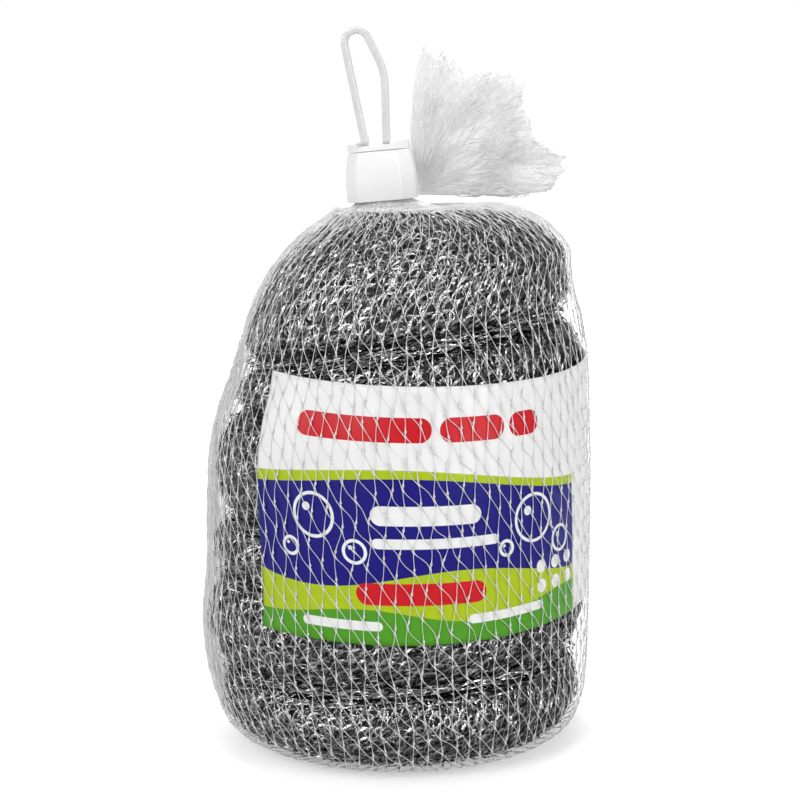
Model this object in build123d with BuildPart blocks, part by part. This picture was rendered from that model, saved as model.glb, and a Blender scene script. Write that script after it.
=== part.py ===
"""A net bag of pot scrubbers, stacked, wrapped in a printed sleeve and hung by a moulded clip.

The origin is the middle of the flat underside, +Z points up to the hanging loop, +X is to the
right and -Y is the front, where the sleeve's print shows. All sizes are in millimetres.
"""

import os
from math import cos, hypot, radians, sin

from build123d import *

os.makedirs("parts", exist_ok=True)

# Driving sizes of the pack
pad_radius = 45.0
pack_height = 123.0
running_gap = 0.3

# Scrubbers, from the lowest to the top one. The planes between them stand at these shares of
# the pack's height, turned by a tilt (right side up) and a lean (front side up).
divider_height_shares = (0.0068, 0.151, 0.320, 0.452, 0.630, 0.757, 1.0)
divider_tilt_degrees = (0.0, 3.0, 0.3, 5.9, 2.4, 10.6, 2.0)
divider_lean_degrees = (0.0, 1.5, 0.5, -1.0, 0.5, 1.0, 0.0)
pad_radius_shares = (0.958, 1.0, 0.982, 0.971, 0.907, 0.857)
pad_shift_shares = (0.007, -0.019, -0.003, 0.004, 0.052, 0.034)
eye_radius = 9.0
eye_depth = 3.0

# A scrubber's rim: height share between its two planes, radius share, sideways shift share
lowest_rim_shares = (
    (0.0, 0.74, 0.0),
    (0.14, 0.92, 0.0),
    (0.5, 1.0, 0.0),
    (0.86, 0.95, 0.0),
    (1.0, 0.82, 0.0),
)
middle_rim_shares = (
    (0.0, 0.82, 0.0),
    (0.14, 0.94, 0.0),
    (0.5, 1.0, 0.0),
    (0.86, 0.94, 0.0),
    (1.0, 0.82, 0.0),
)
top_rim_shares = (
    (0.0, 0.86, 0.0),
    (0.09, 0.96, 0.004),
    (0.2, 0.995, 0.011),
    (0.4, 0.95, 0.031),
    (0.6, 0.895, 0.066),
    (0.78, 0.78, 0.086),
    (0.87, 0.70, 0.097),
    (0.93, 0.62, 0.092),
    (0.975, 0.54, 0.078),
    (1.0, 0.46, 0.037),
)
rows_between = 2

# Hollow in the top scrubber, which the gathered net and the clip sink into
hollow_radius = 14.5
hollow_depth = 7.0
hollow_shift = 1.5

# Net bag, a stretched skin round the scrubbers
net_thickness = 0.4
net_stand_off = 1.15
floor_radius_share = 0.711
net_wall_shares = (
    # height share of the pack, sideways shift and radius shares of the pad, tilt in degrees
    (0.0106, 0.010, 0.844, 0.0),
    (0.0325, 0.010, 0.933, 0.0),
    (0.078, 0.007, 0.984, 0.0),
    (0.142, -0.007, 1.0156, 0.0),
    (0.232, -0.013, 1.0267, 0.0),
    (0.333, 0.0, 1.0145, 0.0),
    (0.447, 0.003, 1.0110, 0.0),
    (0.553, 0.010, 1.0, 0.0),
    (0.634, 0.028, 0.973, 1.0),
    (0.703, 0.052, 0.940, 3.0),
    (0.757, 0.050, 0.915, 7.0),
)

# Mouth of the bag and the gathered neck above it
mouth_radius_share = 0.271
mouth_shift_share = -0.0133
mouth_rise = 0.4
mouth_tilt = 2.0
neck_top_radius = 4.4

# Welded gather that closes the bag underneath, tucked into the lowest scrubber's eye
weld_radius = 4.6
weld_height = 2.6
weld_edge = 1.2

# Printed sleeve between the scrubbers and the net
sleeve_thickness = 0.3
sleeve_middle_share = 0.517
sleeve_height = 55.0
sleeve_tilt = -0.9
sleeve_lean = -4.4
sleeve_left_degrees = -43.0
sleeve_right_degrees = 169.0

# Clip housing, a tapered sleeve with bevelled corners, measured from the middle of its foot
clip_shift_share = -0.0756
clip_rise = 2.3
clip_yaw = 8.0
clip_roll = 5.0
housing_height = 11.3
housing_wall = 1.3
housing_edge = 0.8
housing_lip = 0.4
housing_width = 16.2
housing_depth = 10.0
housing_waist_share = 0.993
housing_top_share = 0.885
waist_height = 5.6
bevel = 3.0
window_left = 1.0
window_right = 6.2
window_height = 4.6

# Plug that locks the net in the housing
cap_height = 2.0
cap_taper_degrees = 3.0
cap_edge = 0.4
saddle_left = -4.5
saddle_right = 3.3
saddle_depth = 1.1
tongue_width = 8.4
tongue_depth = 4.4
tongue_length = 6.0
barb_width = 2.0
barb_height = 1.6
barb_depth = 1.6
barb_drop = 2.6

# Net bunch gripped in the housing
bunch_top = 5.0
bunch_gap = 0.35
stub_height = 3.4

# Hanging loop, a flat moulded strap that flexes at its two feet
strap_thickness = 1.6
strap_depth = 2.1
strap_edge = 0.5
foot_radius = 1.05
foot_length = 1.7
loop_left_foot = -3.1
loop_right_foot = 2.0
loop_height = 25.2
loop_top_bend = 2.8
loop_side_bend = 14.0
loop_corner_shares = (
    # sideways place and height above the feet, as shares of the loop's height
    (-0.242, 0.992),
    (-0.040, 1.0),
    (0.115, 0.611),
)

# Net tail that fans out behind the clip, on a root across the window
tail_root_radius = 1.5
tail_root_left = -0.4
tail_root_right = 5.4
tail_gap = 0.9
tail_pivot_height = 3.3
tail_reach = 34.0
tail_left_x = 6.1
tail_low_height = 1.4
tail_root_depth = 2.4
tail_flare_degrees = 3.4
tail_ray_shares = (
    # ray's angle as a share of a right angle, reach share
    (0.030, 0.94),
    (0.085, 1.03),
    (0.140, 1.04),
    (0.195, 0.97),
    (0.280, 0.925),
    (0.400, 0.955),
    (0.447, 1.0),
    (0.500, 0.985),
    (0.566, 0.97),
    (0.612, 0.95),
    (0.643, 0.875),
    (0.723, 0.815),
    (0.770, 0.865),
    (0.815, 0.90),
    (0.845, 0.905),
    (0.870, 0.93),
    (0.920, 0.965),
)
tail_left_edge_shares = ((0.962, 0.79), (0.975, 0.60), (0.985, 0.40))

# One overrun for every cut
overrun = 20.0


def tilted_plane(place, tilt, lean=0.0):
    """A plane at a place, right side turned up by tilt and front side up by lean."""
    return Plane(origin=place).rotated((-lean, -tilt, 0))


def between(first, second, share):
    """The value that lies a share of the way from first to second."""
    return first + (second - first) * share


def divider_place(number):
    """Height, tilt and lean of one of the planes between the scrubbers."""
    height = divider_height_shares[number] * pack_height
    return height, divider_tilt_degrees[number], divider_lean_degrees[number]


def pad_stations(number, rim_shares):
    """The circles that one scrubber is lofted through: height, shift, radius, tilt and lean."""
    low, low_tilt, low_lean = divider_place(number)
    high, high_tilt, high_lean = divider_place(number + 1)
    low, high = low + running_gap / 2, high - running_gap / 2
    stations = []
    for height_share, radius_share, shift_share in rim_shares:
        stations.append(
            (
                between(low, high, height_share),
                (pad_shift_shares[number] + shift_share) * pad_radius,
                pad_radius_shares[number] * radius_share * pad_radius,
                between(low_tilt, high_tilt, height_share),
                between(low_lean, high_lean, height_share),
            )
        )
    return stations


def curve_value(values, share):
    """The value a share of the way from the second to the third, on a smooth curve."""
    before, first, second, after = values
    slope = second - before
    bend = 2 * before - 5 * first + 4 * second - after
    twist = 3 * (first - second) + after - before
    return first + (slope * share + bend * share**2 + twist * share**3) / 2


def rounded(stations):
    """The circles with more of them between each two, on a smooth curve through them."""
    last = len(stations) - 1
    rows = []
    for index in range(last):
        nearby = [stations[min(max(index + step, 0), last)] for step in (-1, 0, 1, 2)]
        for step in range(rows_between + 1):
            share = step / (rows_between + 1)
            rows.append(tuple(curve_value(values, share) for values in zip(*nearby)))
    return rows + [stations[last]]


def stand_off(stations, distance):
    """The circles moved out along the surface's own normal by a distance."""
    moved = []
    for index, (height, shift, radius, tilt, lean) in enumerate(stations):
        before = stations[max(index - 1, 0)]
        after = stations[min(index + 1, len(stations) - 1)]
        rise, run = after[0] - before[0], after[2] - before[2]
        length = hypot(rise, run)
        moved.append(
            (
                height - distance * run / length,
                shift,
                radius + distance * rise / length,
                tilt,
                lean,
            )
        )
    return moved


def station_plane(station):
    """The plane of one circle of a loft."""
    height, shift, _, tilt, lean = station
    return tilted_plane((shift, 0, height), tilt, lean)


# Scrubbers, each a bun between its two planes with a shallow eye in both faces
rims = [lowest_rim_shares] + [middle_rim_shares] * 4 + [top_rim_shares]
pads = [pad_stations(number, rim_shares) for number, rim_shares in enumerate(rims)]
eye_ball = (eye_radius**2 + eye_depth**2) / (2 * eye_depth)
hollow_ball = (hollow_radius**2 + hollow_depth**2) / (2 * hollow_depth)
for number, stations in enumerate(pads):
    is_top = number == len(pads) - 1
    low_height, low_shift, _, low_tilt, low_lean = stations[0]
    high_height, high_shift, _, high_tilt, high_lean = stations[-1]
    ball, depth = (hollow_ball, hollow_depth) if is_top else (eye_ball, eye_depth)
    high_shift = hollow_shift if is_top else high_shift
    low_face = tilted_plane((low_shift, 0, low_height), low_tilt, low_lean)
    high_face = tilted_plane((high_shift, 0, high_height), high_tilt, high_lean)
    with BuildPart() as scrubber:
        for station in rounded(stations):
            with BuildSketch(station_plane(station)):
                Circle(station[2])
        loft(ruled=True)
        with Locations(low_face.offset(eye_depth - eye_ball)):
            Sphere(eye_ball, mode=Mode.SUBTRACT)
        with Locations(high_face.offset(ball - depth)):
            Sphere(ball, mode=Mode.SUBTRACT)
    name = f"scrubber_{number + 1}"
    scrubber.part.label = name
    export_step(scrubber.part, f"parts/{name}.step")

# Net bag: outer circles from the floor to the mouth, the same ones drawn in, and a lid that
# opens the mouth
wall_rows = [
    (height * pack_height, shift * pad_radius, radius * pad_radius, tilt, 0.0)
    for height, shift, radius, tilt in net_wall_shares
]
dome_rows = stand_off(pads[-1], net_stand_off)[2:]
mouth_radius = mouth_radius_share * pad_radius
mouth_shift = mouth_shift_share * pad_radius
mouth = (pack_height + mouth_rise, mouth_shift, mouth_radius, mouth_tilt, 0.0)
floor_row = (0.0, wall_rows[0][1], floor_radius_share * pad_radius, 0.0, 0.0)
net_outside = rounded([floor_row] + wall_rows + dome_rows + [mouth])
net_inside = stand_off(net_outside, -net_thickness)
lid = (mouth[0] + net_thickness, mouth_shift, mouth_radius - net_thickness, mouth_tilt, 0.0)

with BuildPart() as net_bag:
    for stations, mode in ((net_outside, Mode.ADD), (net_inside + [lid], Mode.SUBTRACT)):
        for station in stations:
            with BuildSketch(station_plane(station)):
                Circle(station[2])
        loft(ruled=True, mode=mode)
    with BuildSketch(Plane.XY.offset(-net_thickness)):
        with Locations((floor_row[1], 0)):
            Circle(weld_radius + running_gap)
    extrude(amount=3 * net_thickness, mode=Mode.SUBTRACT)
net_bag.part.label = "net_bag"
export_step(net_bag.part, "parts/net_bag.step")

# Weld: a low round button, flush with the floor and rounded on top
with BuildPart() as base_weld:
    with BuildSketch(Plane.XY):
        with Locations((floor_row[1], 0)):
            Circle(weld_radius)
    extrude(amount=weld_height)
    fillet(base_weld.faces().sort_by(Axis.Z)[-1].edges(), weld_edge)
base_weld.part.label = "base_weld"
export_step(base_weld.part, "parts/base_weld.step")

# Sleeve: a thin wall just inside the net, cut by two tilted planes and open at the left
sleeve_middle = sleeve_middle_share * pack_height
sleeve_outside = stand_off(net_outside, -net_thickness - running_gap)
sleeve_inside = stand_off(sleeve_outside, -sleeve_thickness)
sleeve_rows = [
    index
    for index, station in enumerate(net_outside)
    if abs(station[0] - sleeve_middle) < sleeve_height * 3 / 4
]
sleeve_planes = [
    tilted_plane((0, 0, sleeve_middle + side * sleeve_height / 2), sleeve_tilt, sleeve_lean)
    for side in (-1, 1)
]
opening_degrees = sleeve_left_degrees + 360 - sleeve_right_degrees
with BuildPart() as print_sleeve:
    for rows, mode in ((sleeve_outside, Mode.ADD), (sleeve_inside, Mode.SUBTRACT)):
        for index in sleeve_rows:
            with BuildSketch(station_plane(rows[index])):
                Circle(rows[index][2])
        loft(ruled=True, mode=mode)
    split(bisect_by=sleeve_planes[0], keep=Keep.TOP)
    split(bisect_by=sleeve_planes[1], keep=Keep.BOTTOM)
    with BuildSketch(Plane.XY):
        with BuildLine():
            reach = 2 * pad_radius
            corners = [(0, 0)]
            for share in (0, 0.25, 0.5, 0.75, 1):
                angle = radians(sleeve_right_degrees + share * opening_degrees)
                corners.append((reach * sin(angle), -reach * cos(angle)))
            Polyline(*corners, close=True)
        make_face()
    extrude(amount=pack_height + overrun, mode=Mode.SUBTRACT)
print_sleeve.part.label = "print_sleeve"
export_step(print_sleeve.part, "parts/print_sleeve.step")

# Gathered neck, a low cone of drawn-in net between the bag's mouth and the clip
clip_base_height = pack_height + clip_rise
clip_shift = clip_shift_share * pad_radius
clip_plane = Plane(origin=(clip_shift, 0, clip_base_height)).rotated((0, 0, -clip_yaw))
clip_plane = clip_plane.rotated((0, -clip_roll, 0))
with BuildPart() as net_neck:
    with BuildSketch(station_plane(mouth).offset(-net_thickness)):
        Circle(mouth_radius - net_thickness - running_gap)
    with BuildSketch(clip_plane.offset(-running_gap)):
        Circle(neck_top_radius)
    loft(ruled=True)
net_neck.part.label = "net_neck"
export_step(net_neck.part, "parts/net_neck.step")


def bevelled_points(size, corner):
    """Corners of a rectangle of the given width and depth with its corners cut off."""
    x, y = size[0] / 2, size[1] / 2
    return [
        (x - corner, y),
        (corner - x, y),
        (-x, y - corner),
        (-x, corner - y),
        (corner - x, -y),
        (x - corner, -y),
        (x, corner - y),
        (x, y - corner),
    ]


def drawn_in(size, distance):
    """A width and depth made smaller all round by a distance."""
    return size[0] - 2 * distance, size[1] - 2 * distance


# Housing: bevelled outside and inside walls, with a window for the tail low in its back
housing_foot = (housing_width, housing_depth)
housing_waist = (housing_width * housing_waist_share, housing_depth * housing_waist_share)
housing_top = (housing_width * housing_top_share, housing_depth * housing_top_share)
housing_stations = (
    (0.0, housing_foot),
    (waist_height, housing_waist),
    (housing_height, housing_top),
)
inner_bevel = bevel - housing_wall / 2
clip_axis = Axis(clip_plane.origin, clip_plane.z_dir)
with BuildPart() as clip_housing:
    for height, size in housing_stations:
        with BuildSketch(clip_plane.offset(height)) as outline:
            Polygon(*bevelled_points(size, bevel))
            fillet(outline.vertices(), housing_edge)
    loft()
    fillet(clip_housing.faces().sort_by(clip_axis)[-1].edges(), housing_lip)
    for height, size in housing_stations:
        with BuildSketch(clip_plane.offset(height)):
            Polygon(*bevelled_points(drawn_in(size, housing_wall), inner_bevel))
    loft(mode=Mode.SUBTRACT)
    with BuildSketch(clip_plane.offset(-overrun)):
        with Locations(((window_left + window_right) / 2, housing_depth / 2)):
            Rectangle(window_right - window_left, housing_depth * 2 / 3)
    extrude(amount=overrun + window_height, mode=Mode.SUBTRACT)
clip_housing.part.label = "clip_housing"
export_step(clip_housing.part, "parts/clip_housing.step")

# Plug: a cap with a saddle for the loop's feet, and a tongue with two barbs
cap_base = housing_height + running_gap / 3
saddle_middle = (saddle_left + saddle_right) / 2
tongue_tip = cap_base - tongue_length
with BuildPart() as clip_plug:
    with BuildSketch(clip_plane.offset(cap_base)) as outline:
        Polygon(*bevelled_points(housing_top, bevel))
        fillet(outline.vertices(), housing_edge)
    extrude(amount=cap_height, taper=cap_taper_degrees)
    fillet(clip_plug.faces().sort_by(clip_axis)[-1].edges(), cap_edge)
    with BuildSketch(clip_plane.offset(cap_base + cap_height - saddle_depth)):
        with Locations((saddle_middle, 0)):
            Rectangle(saddle_right - saddle_left, 2 * housing_top[1])
    extrude(amount=overrun, mode=Mode.SUBTRACT)
    with BuildSketch(clip_plane.offset(tongue_tip)):
        Rectangle(tongue_width, tongue_depth)
    extrude(amount=tongue_length)
    for side in (-1, 1):
        with BuildSketch(clip_plane.offset(tongue_tip + barb_drop)):
            with Locations((side * (tongue_width + barb_depth) / 2, 0)):
                Rectangle(barb_depth, barb_width)
        extrude(amount=barb_height)
clip_plug.part.label = "clip_plug"
export_step(clip_plug.part, "parts/clip_plug.step")

# Net bunch: the drawn-in net under the plug, with a stub out through the window
bunch_size = drawn_in(housing_waist, housing_wall + bunch_gap)
stub_width = window_right - window_left - 2 * running_gap
stub_end = housing_depth / 2 + running_gap
with BuildPart() as net_bunch:
    with BuildSketch(clip_plane.offset(running_gap / 3)):
        Polygon(*bevelled_points(bunch_size, inner_bevel))
    extrude(amount=bunch_top)
    with BuildSketch(clip_plane.offset(running_gap)):
        with Locations(((window_left + window_right) / 2, stub_end / 2)):
            Rectangle(stub_width, stub_end)
    extrude(amount=stub_height)
net_bunch.part.label = "net_bunch"
export_step(net_bunch.part, "parts/net_bunch.step")

# Hanging loop: a flat strap on a bent path, with a round foot at each end
foot_height = cap_base + cap_height - saddle_depth + foot_radius + running_gap
loop_face = Plane(
    origin=clip_plane.offset(foot_height).origin,
    x_dir=clip_plane.x_dir,
    z_dir=-clip_plane.y_dir,
)
with BuildPart() as hang_loop:
    with BuildLine(loop_face) as loop_path:
        places = [(x * loop_height, height * loop_height) for x, height in loop_corner_shares]
        FilletPolyline(
            (loop_left_foot, 0),
            *places,
            (loop_right_foot, 0),
            radius=[loop_top_bend, loop_top_bend, loop_side_bend],
        )
    loop_wire = loop_path.wires()[0]
    with BuildSketch(
        Plane(origin=loop_wire @ 0, x_dir=clip_plane.x_dir, z_dir=loop_wire % 0)
    ):
        RectangleRounded(strap_thickness, strap_depth, strap_edge)
    sweep(path=loop_wire)
    for foot in (loop_left_foot, loop_right_foot):
        foot_face = Plane(
            origin=clip_plane.from_local_coords((foot - foot_length / 2, 0, foot_height)),
            x_dir=clip_plane.y_dir,
            z_dir=clip_plane.x_dir,
        )
        with BuildSketch(foot_face):
            Circle(foot_radius)
        extrude(amount=foot_length)
hang_loop.part.label = "hang_loop"
export_step(hang_loop.part, "parts/hang_loop.step")

# Tail: a ragged fan on a round root, thicker towards its top
tail_pivot_y = housing_depth / 2 + tail_gap + tail_root_radius
tail_pivot = (clip_shift, tail_pivot_y, clip_base_height + tail_pivot_height)
tail_face = Plane(origin=tail_pivot, x_dir=(1, 0, 0), z_dir=(0, -1, 0))
fan_points = [(tail_root_right, -tail_low_height), (tail_left_x, -tail_low_height)]
for angle_share, reach_share in tail_ray_shares + tail_left_edge_shares:
    angle = radians(90 * angle_share)
    reach = tail_reach * reach_share
    fan_points.append((tail_left_x + reach * cos(angle), reach * sin(angle)))
fan_points.append((tail_left_x, tail_root_radius))
fan_points.append((tail_root_right, 0))
with BuildPart() as net_tail:
    with BuildSketch(tail_face.offset(-overrun)):
        Polygon(*fan_points)
    extrude(amount=2 * overrun)
    for side in (-1, 1):
        flank = Plane(origin=(0, tail_pivot_y + side * tail_root_depth / 2, tail_pivot[2]))
        flank = Plane(
            origin=flank.origin,
            x_dir=(1, 0, 0),
            z_dir=(0, side, -sin(radians(tail_flare_degrees))),
        )
        split(bisect_by=flank, keep=Keep.BOTTOM)
    with BuildSketch(
        Plane(
            origin=(clip_shift + tail_root_left, tail_pivot_y, tail_pivot[2]),
            x_dir=(0, 1, 0),
            z_dir=(1, 0, 0),
        )
    ):
        Circle(tail_root_radius)
    extrude(amount=tail_left_x + tail_root_radius - tail_root_left)
net_tail.part.label = "net_tail"
export_step(net_tail.part, "parts/net_tail.step")
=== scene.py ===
"""Dresses the net pack of pot scrubbers: knitted wire pads, diamond mesh net, printed sleeve,
moulded clip with its hanging loop, frayed net tail, and the studio.

Shapes are worked out in millimetres as whole arrays and put into the meshes in metres.
+Z is up, +X right, -Y front. Angles round the pack start at the front and grow to the right.
"""

import bpy
import numpy as np
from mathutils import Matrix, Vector


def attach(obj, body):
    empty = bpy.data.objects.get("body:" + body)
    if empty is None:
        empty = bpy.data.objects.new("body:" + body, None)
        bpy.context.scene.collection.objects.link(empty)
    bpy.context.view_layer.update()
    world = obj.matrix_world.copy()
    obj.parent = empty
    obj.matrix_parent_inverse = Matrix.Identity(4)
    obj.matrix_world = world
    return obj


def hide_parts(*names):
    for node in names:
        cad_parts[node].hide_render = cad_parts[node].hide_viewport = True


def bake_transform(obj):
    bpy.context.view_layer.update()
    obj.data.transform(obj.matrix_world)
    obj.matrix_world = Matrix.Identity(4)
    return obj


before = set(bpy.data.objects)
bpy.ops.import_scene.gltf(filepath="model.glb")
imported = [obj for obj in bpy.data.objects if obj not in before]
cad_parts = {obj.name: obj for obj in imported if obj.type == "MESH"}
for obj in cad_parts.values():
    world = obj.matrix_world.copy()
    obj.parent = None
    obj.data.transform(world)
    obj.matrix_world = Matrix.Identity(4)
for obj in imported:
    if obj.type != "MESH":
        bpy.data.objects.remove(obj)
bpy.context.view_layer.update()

MM = 0.001
TURN = 2 * np.pi

# The pack's driving sizes, as in the solids
PAD_RADIUS = 45.0
PACK_HEIGHT = 123.0
PAD_GAP = 0.3
DIVIDERS = (
    # height share of the pack, tilt and lean of the planes between the pads
    (0.0068, 0.0, 0.0),
    (0.151, 3.0, 1.5),
    (0.320, 0.3, 0.5),
    (0.452, 5.9, -1.0),
    (0.630, 2.4, 0.5),
    (0.757, 10.6, 1.0),
    (1.0, 2.0, 0.0),
)
PAD_SHARES = (
    # radius share and sideways shift share of each pad
    (0.958, 0.007),
    (1.0, -0.019),
    (0.982, -0.003),
    (0.971, 0.004),
    (0.907, 0.052),
    (0.857, 0.034),
)
# Rims of the lowest, middle and top pads: height share, radius share and sideways shift share
LOWEST_RIM = ((0, 0.74, 0), (0.14, 0.92, 0), (0.5, 1, 0), (0.86, 0.95, 0), (1, 0.82, 0))
MIDDLE_RIM = ((0, 0.82, 0), (0.14, 0.94, 0), (0.5, 1, 0), (0.86, 0.94, 0), (1, 0.82, 0))
TOP_RIM = (
    (0.0, 0.86, 0.0),
    (0.09, 0.96, 0.004),
    (0.2, 0.995, 0.011),
    (0.4, 0.95, 0.031),
    (0.6, 0.895, 0.066),
    (0.78, 0.78, 0.086),
    (0.87, 0.70, 0.097),
    (0.93, 0.62, 0.092),
    (0.975, 0.54, 0.078),
    (1.0, 0.46, 0.037),
)
# Eyes of the pads, from the crease inwards: depth below the crease and radius
EYE = ((0.0, 18.0), (0.4, 9.0), (2.4, 4.5), (3.0, 1.2))
TOP_EYE = ((0.9, 14.2), (3.6, 11.0), (6.0, 6.5), (6.9, 1.2))
TOP_PAD = len(PAD_SHARES) - 1

# Net's wall: height share, shift share, radius share and tilt
NET_WALL = (
    (0.0106, 0.010, 0.844, 0.0),
    (0.0325, 0.010, 0.933, 0.0),
    (0.078, 0.007, 0.984, 0.0),
    (0.142, -0.007, 1.0156, 0.0),
    (0.232, -0.013, 1.0267, 0.0),
    (0.333, 0.0, 1.0145, 0.0),
    (0.447, 0.003, 1.0110, 0.0),
    (0.553, 0.010, 1.0, 0.0),
    (0.634, 0.028, 0.973, 1.0),
    (0.703, 0.052, 0.940, 3.0),
    (0.757, 0.050, 0.915, 7.0),
)
# How far the net stands off the top pad, and its mouth: height, shift, radius, tilt and lean
NET_STAND_OFF = 1.15
MOUTH = (123.4, -0.6, 12.2, 2.0, 0.0)

# Clip frame: middle of its foot, and its three directions
CLIP_FOOT = np.array((-3.402, 0.0, 125.3))
CLIP_RIGHT = np.array((0.9865, -0.139173, 0.086308))
CLIP_BACK = np.array((0.138644, 0.990268, 0.01213))
CLIP_UP = np.array((-0.087156, 0.0, 0.996195))


# ---- curves and surfaces


def curve_through(rows, place):
    """Smooth curve through the rows: with a, b, c, d the four rows round a place and t the share
    from b to c, the value is b + ((c - a) t + (2a - 5b + 4c - d) t2 + (3b - 3c + d - a) t3) / 2."""
    rows = np.asarray(rows, float)
    last = len(rows) - 1
    first = np.clip(np.floor(place).astype(int), 0, last - 1)
    t = (np.asarray(place, float) - first)[..., None]
    a, b = rows[np.clip(first - 1, 0, last)], rows[first]
    c, d = rows[first + 1], rows[np.clip(first + 2, 0, last)]
    return b + ((c - a) * t + (2 * a - 5 * b + 4 * c - d) * t**2 + (3 * (b - c) + d - a) * t**3) / 2


def turned_points(height, shift, radius, tilt, lean, angle):
    """Points of a ring that is tipped over: x = shift + r sin(angle) cos(tilt),
    y = -r cos(angle) cos(lean), z = height + r sin(angle) sin(tilt) + r cos(angle) sin(lean)."""
    tilt, lean = np.radians(tilt), np.radians(lean)
    across, front = radius * np.sin(angle), radius * np.cos(angle)
    z = height + across * np.sin(tilt) + front * np.sin(lean)
    return np.stack((shift + across * np.cos(tilt), -front * np.cos(lean), z), -1)


def round_surface(rows, place, angle, lift):
    """Point on a turned surface: the row gives the ring's height, shift, radius, tilt and lean. The
    lift moves height and radius along the profile's normal."""
    place, angle, lift = np.broadcast_arrays(place, angle, lift)
    ahead = curve_through(rows, np.minimum(place + 0.02, len(rows) - 1))
    behind = curve_through(rows, np.maximum(place - 0.02, 0))
    rise, run = ahead[..., 0] - behind[..., 0], ahead[..., 2] - behind[..., 2]
    length = np.maximum(np.hypot(rise, run), 1e-9)
    height, shift, radius, tilt, lean = np.moveaxis(curve_through(rows, place), -1, 0)
    height, radius = height - lift * run / length, radius + lift * rise / length
    return turned_points(height, shift, radius, tilt, lean, angle)


def running_length(points):
    """Length along a bent line from its first point to each point."""
    return np.concatenate(([0.0], np.cumsum(np.linalg.norm(np.diff(points, axis=0), axis=1))))


def lengths_along(rows):
    """Running length of a turned surface's profile, and the place on the rows for each length."""
    places = np.linspace(0, len(rows) - 1, 40 * len(rows))
    return running_length(curve_through(rows, places)[:, (0, 2)]), places


def ripple(seed, angle, along, waves, turns, pitch):
    """Gentle disorder, near -1 to 1: the sum of waves sin(n angle + 2 pi along / pitch + phase),
    with n a whole number, so that it closes round the pack, over the root of their number."""
    dice = np.random.default_rng(seed)
    total = 0.0
    for _ in range(waves):
        count = dice.integers(turns[0], turns[1] + 1)
        slope = TURN / dice.uniform(*pitch) * dice.choice((-1, 1))
        total = total + np.sin(count * angle + slope * along + dice.uniform(0, TURN))
    return total / np.sqrt(waves)


def ease(value):
    """Smooth step from 0 to 1: 3 t2 - 2 t3 of the value held between 0 and 1."""
    t = np.clip(value, 0, 1)
    return t * t * (3 - 2 * t)


def unit(vectors):
    """Each vector over its own length."""
    return vectors / np.maximum(np.linalg.norm(vectors, axis=-1, keepdims=True), 1e-9)


# ---- meshes


def new_piece(name, points, face_sets, material, smooth=True):
    """A mesh object from points in millimetres and arrays of face corners."""
    mesh = bpy.data.meshes.new(name)
    points = np.asarray(points, float).reshape(-1, 3) * MM
    corners = np.concatenate([faces.ravel() for faces in face_sets]).astype(np.int32)
    sizes = np.concatenate([np.full(len(faces), faces.shape[1]) for faces in face_sets])
    starts = (np.cumsum(sizes) - sizes).astype(np.int32)
    mesh.vertices.add(len(points))
    mesh.vertices.foreach_set("co", points.astype(np.float32).ravel())
    mesh.loops.add(len(corners))
    mesh.loops.foreach_set("vertex_index", corners)
    mesh.polygons.add(len(sizes))
    mesh.polygons.foreach_set("loop_start", starts)
    mesh.polygons.foreach_set("use_smooth", np.full(len(sizes), smooth))
    mesh.update(calc_edges=True)
    piece = bpy.data.objects.new(name, mesh)
    bpy.context.scene.collection.objects.link(piece)
    mesh.materials.append(material)
    return piece


# Corners of a strand's section, across it and up from it: round plastic, and flat wire
ROUND_SECTION = ((0.0, 1.0), (-0.87, -0.5), (0.87, -0.5))
FLAT_SECTION = ((1.0, 0.6), (-1.0, 0.6), (0.0, -0.6))


def strand_skin(
    paths, outward, half_width, half_depth, section=ROUND_SECTION, roll=0.0, closed=False
):
    """Skin of many strands: at each point of a path the section's corner (a, b) lies at
    path + a half_width side + b half_depth up, where side runs along the surface across the
    strand and up leaves the surface; the roll turns both about the strand."""
    count, steps = paths.shape[:2]
    if closed:
        along = unit(np.roll(paths, -1, 1) - np.roll(paths, 1, 1))
    else:
        along = unit(np.gradient(paths, axis=1))
    side = unit(np.cross(along, outward))
    up = np.cross(side, along)
    roll = np.broadcast_to(roll, (count, steps))[..., None]
    side, up = side * np.cos(roll) + up * np.sin(roll), up * np.cos(roll) - side * np.sin(roll)
    wide = np.broadcast_to(half_width, (count, steps))[..., None]
    deep = np.broadcast_to(half_depth, (count, steps))[..., None]
    rings = np.stack([paths + a * wide * side + b * deep * up for a, b in section], 2)
    sides = len(section)
    index = np.arange(count * steps * sides).reshape(count, steps, sides)
    here, turned = index, np.roll(index, -1, 2)
    if closed:
        ahead, ahead_turned = np.roll(index, -1, 1), np.roll(turned, -1, 1)
    else:
        here, turned = index[:, :-1], turned[:, :-1]
        ahead, ahead_turned = index[:, 1:], np.roll(index, -1, 2)[:, 1:]
    walls = np.stack((here, ahead, ahead_turned, turned), -1).reshape(-1, 4)
    if closed:
        return rings.reshape(-1, 3), [walls]
    ends = np.concatenate((index[:, 0], index[:, -1, ::-1]))
    return rings.reshape(-1, 3), [walls, ends]


def joined(skins):
    """Several skins as one: their corner numbers move on by the points before them."""
    points, sets, before = [], {}, 0
    for skin_points, face_sets in skins:
        points.append(skin_points)
        for faces in face_sets:
            sets.setdefault(faces.shape[1], []).append(faces + before)
        before += len(skin_points)
    return np.concatenate(points), [np.concatenate(found) for found in sets.values()]


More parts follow.
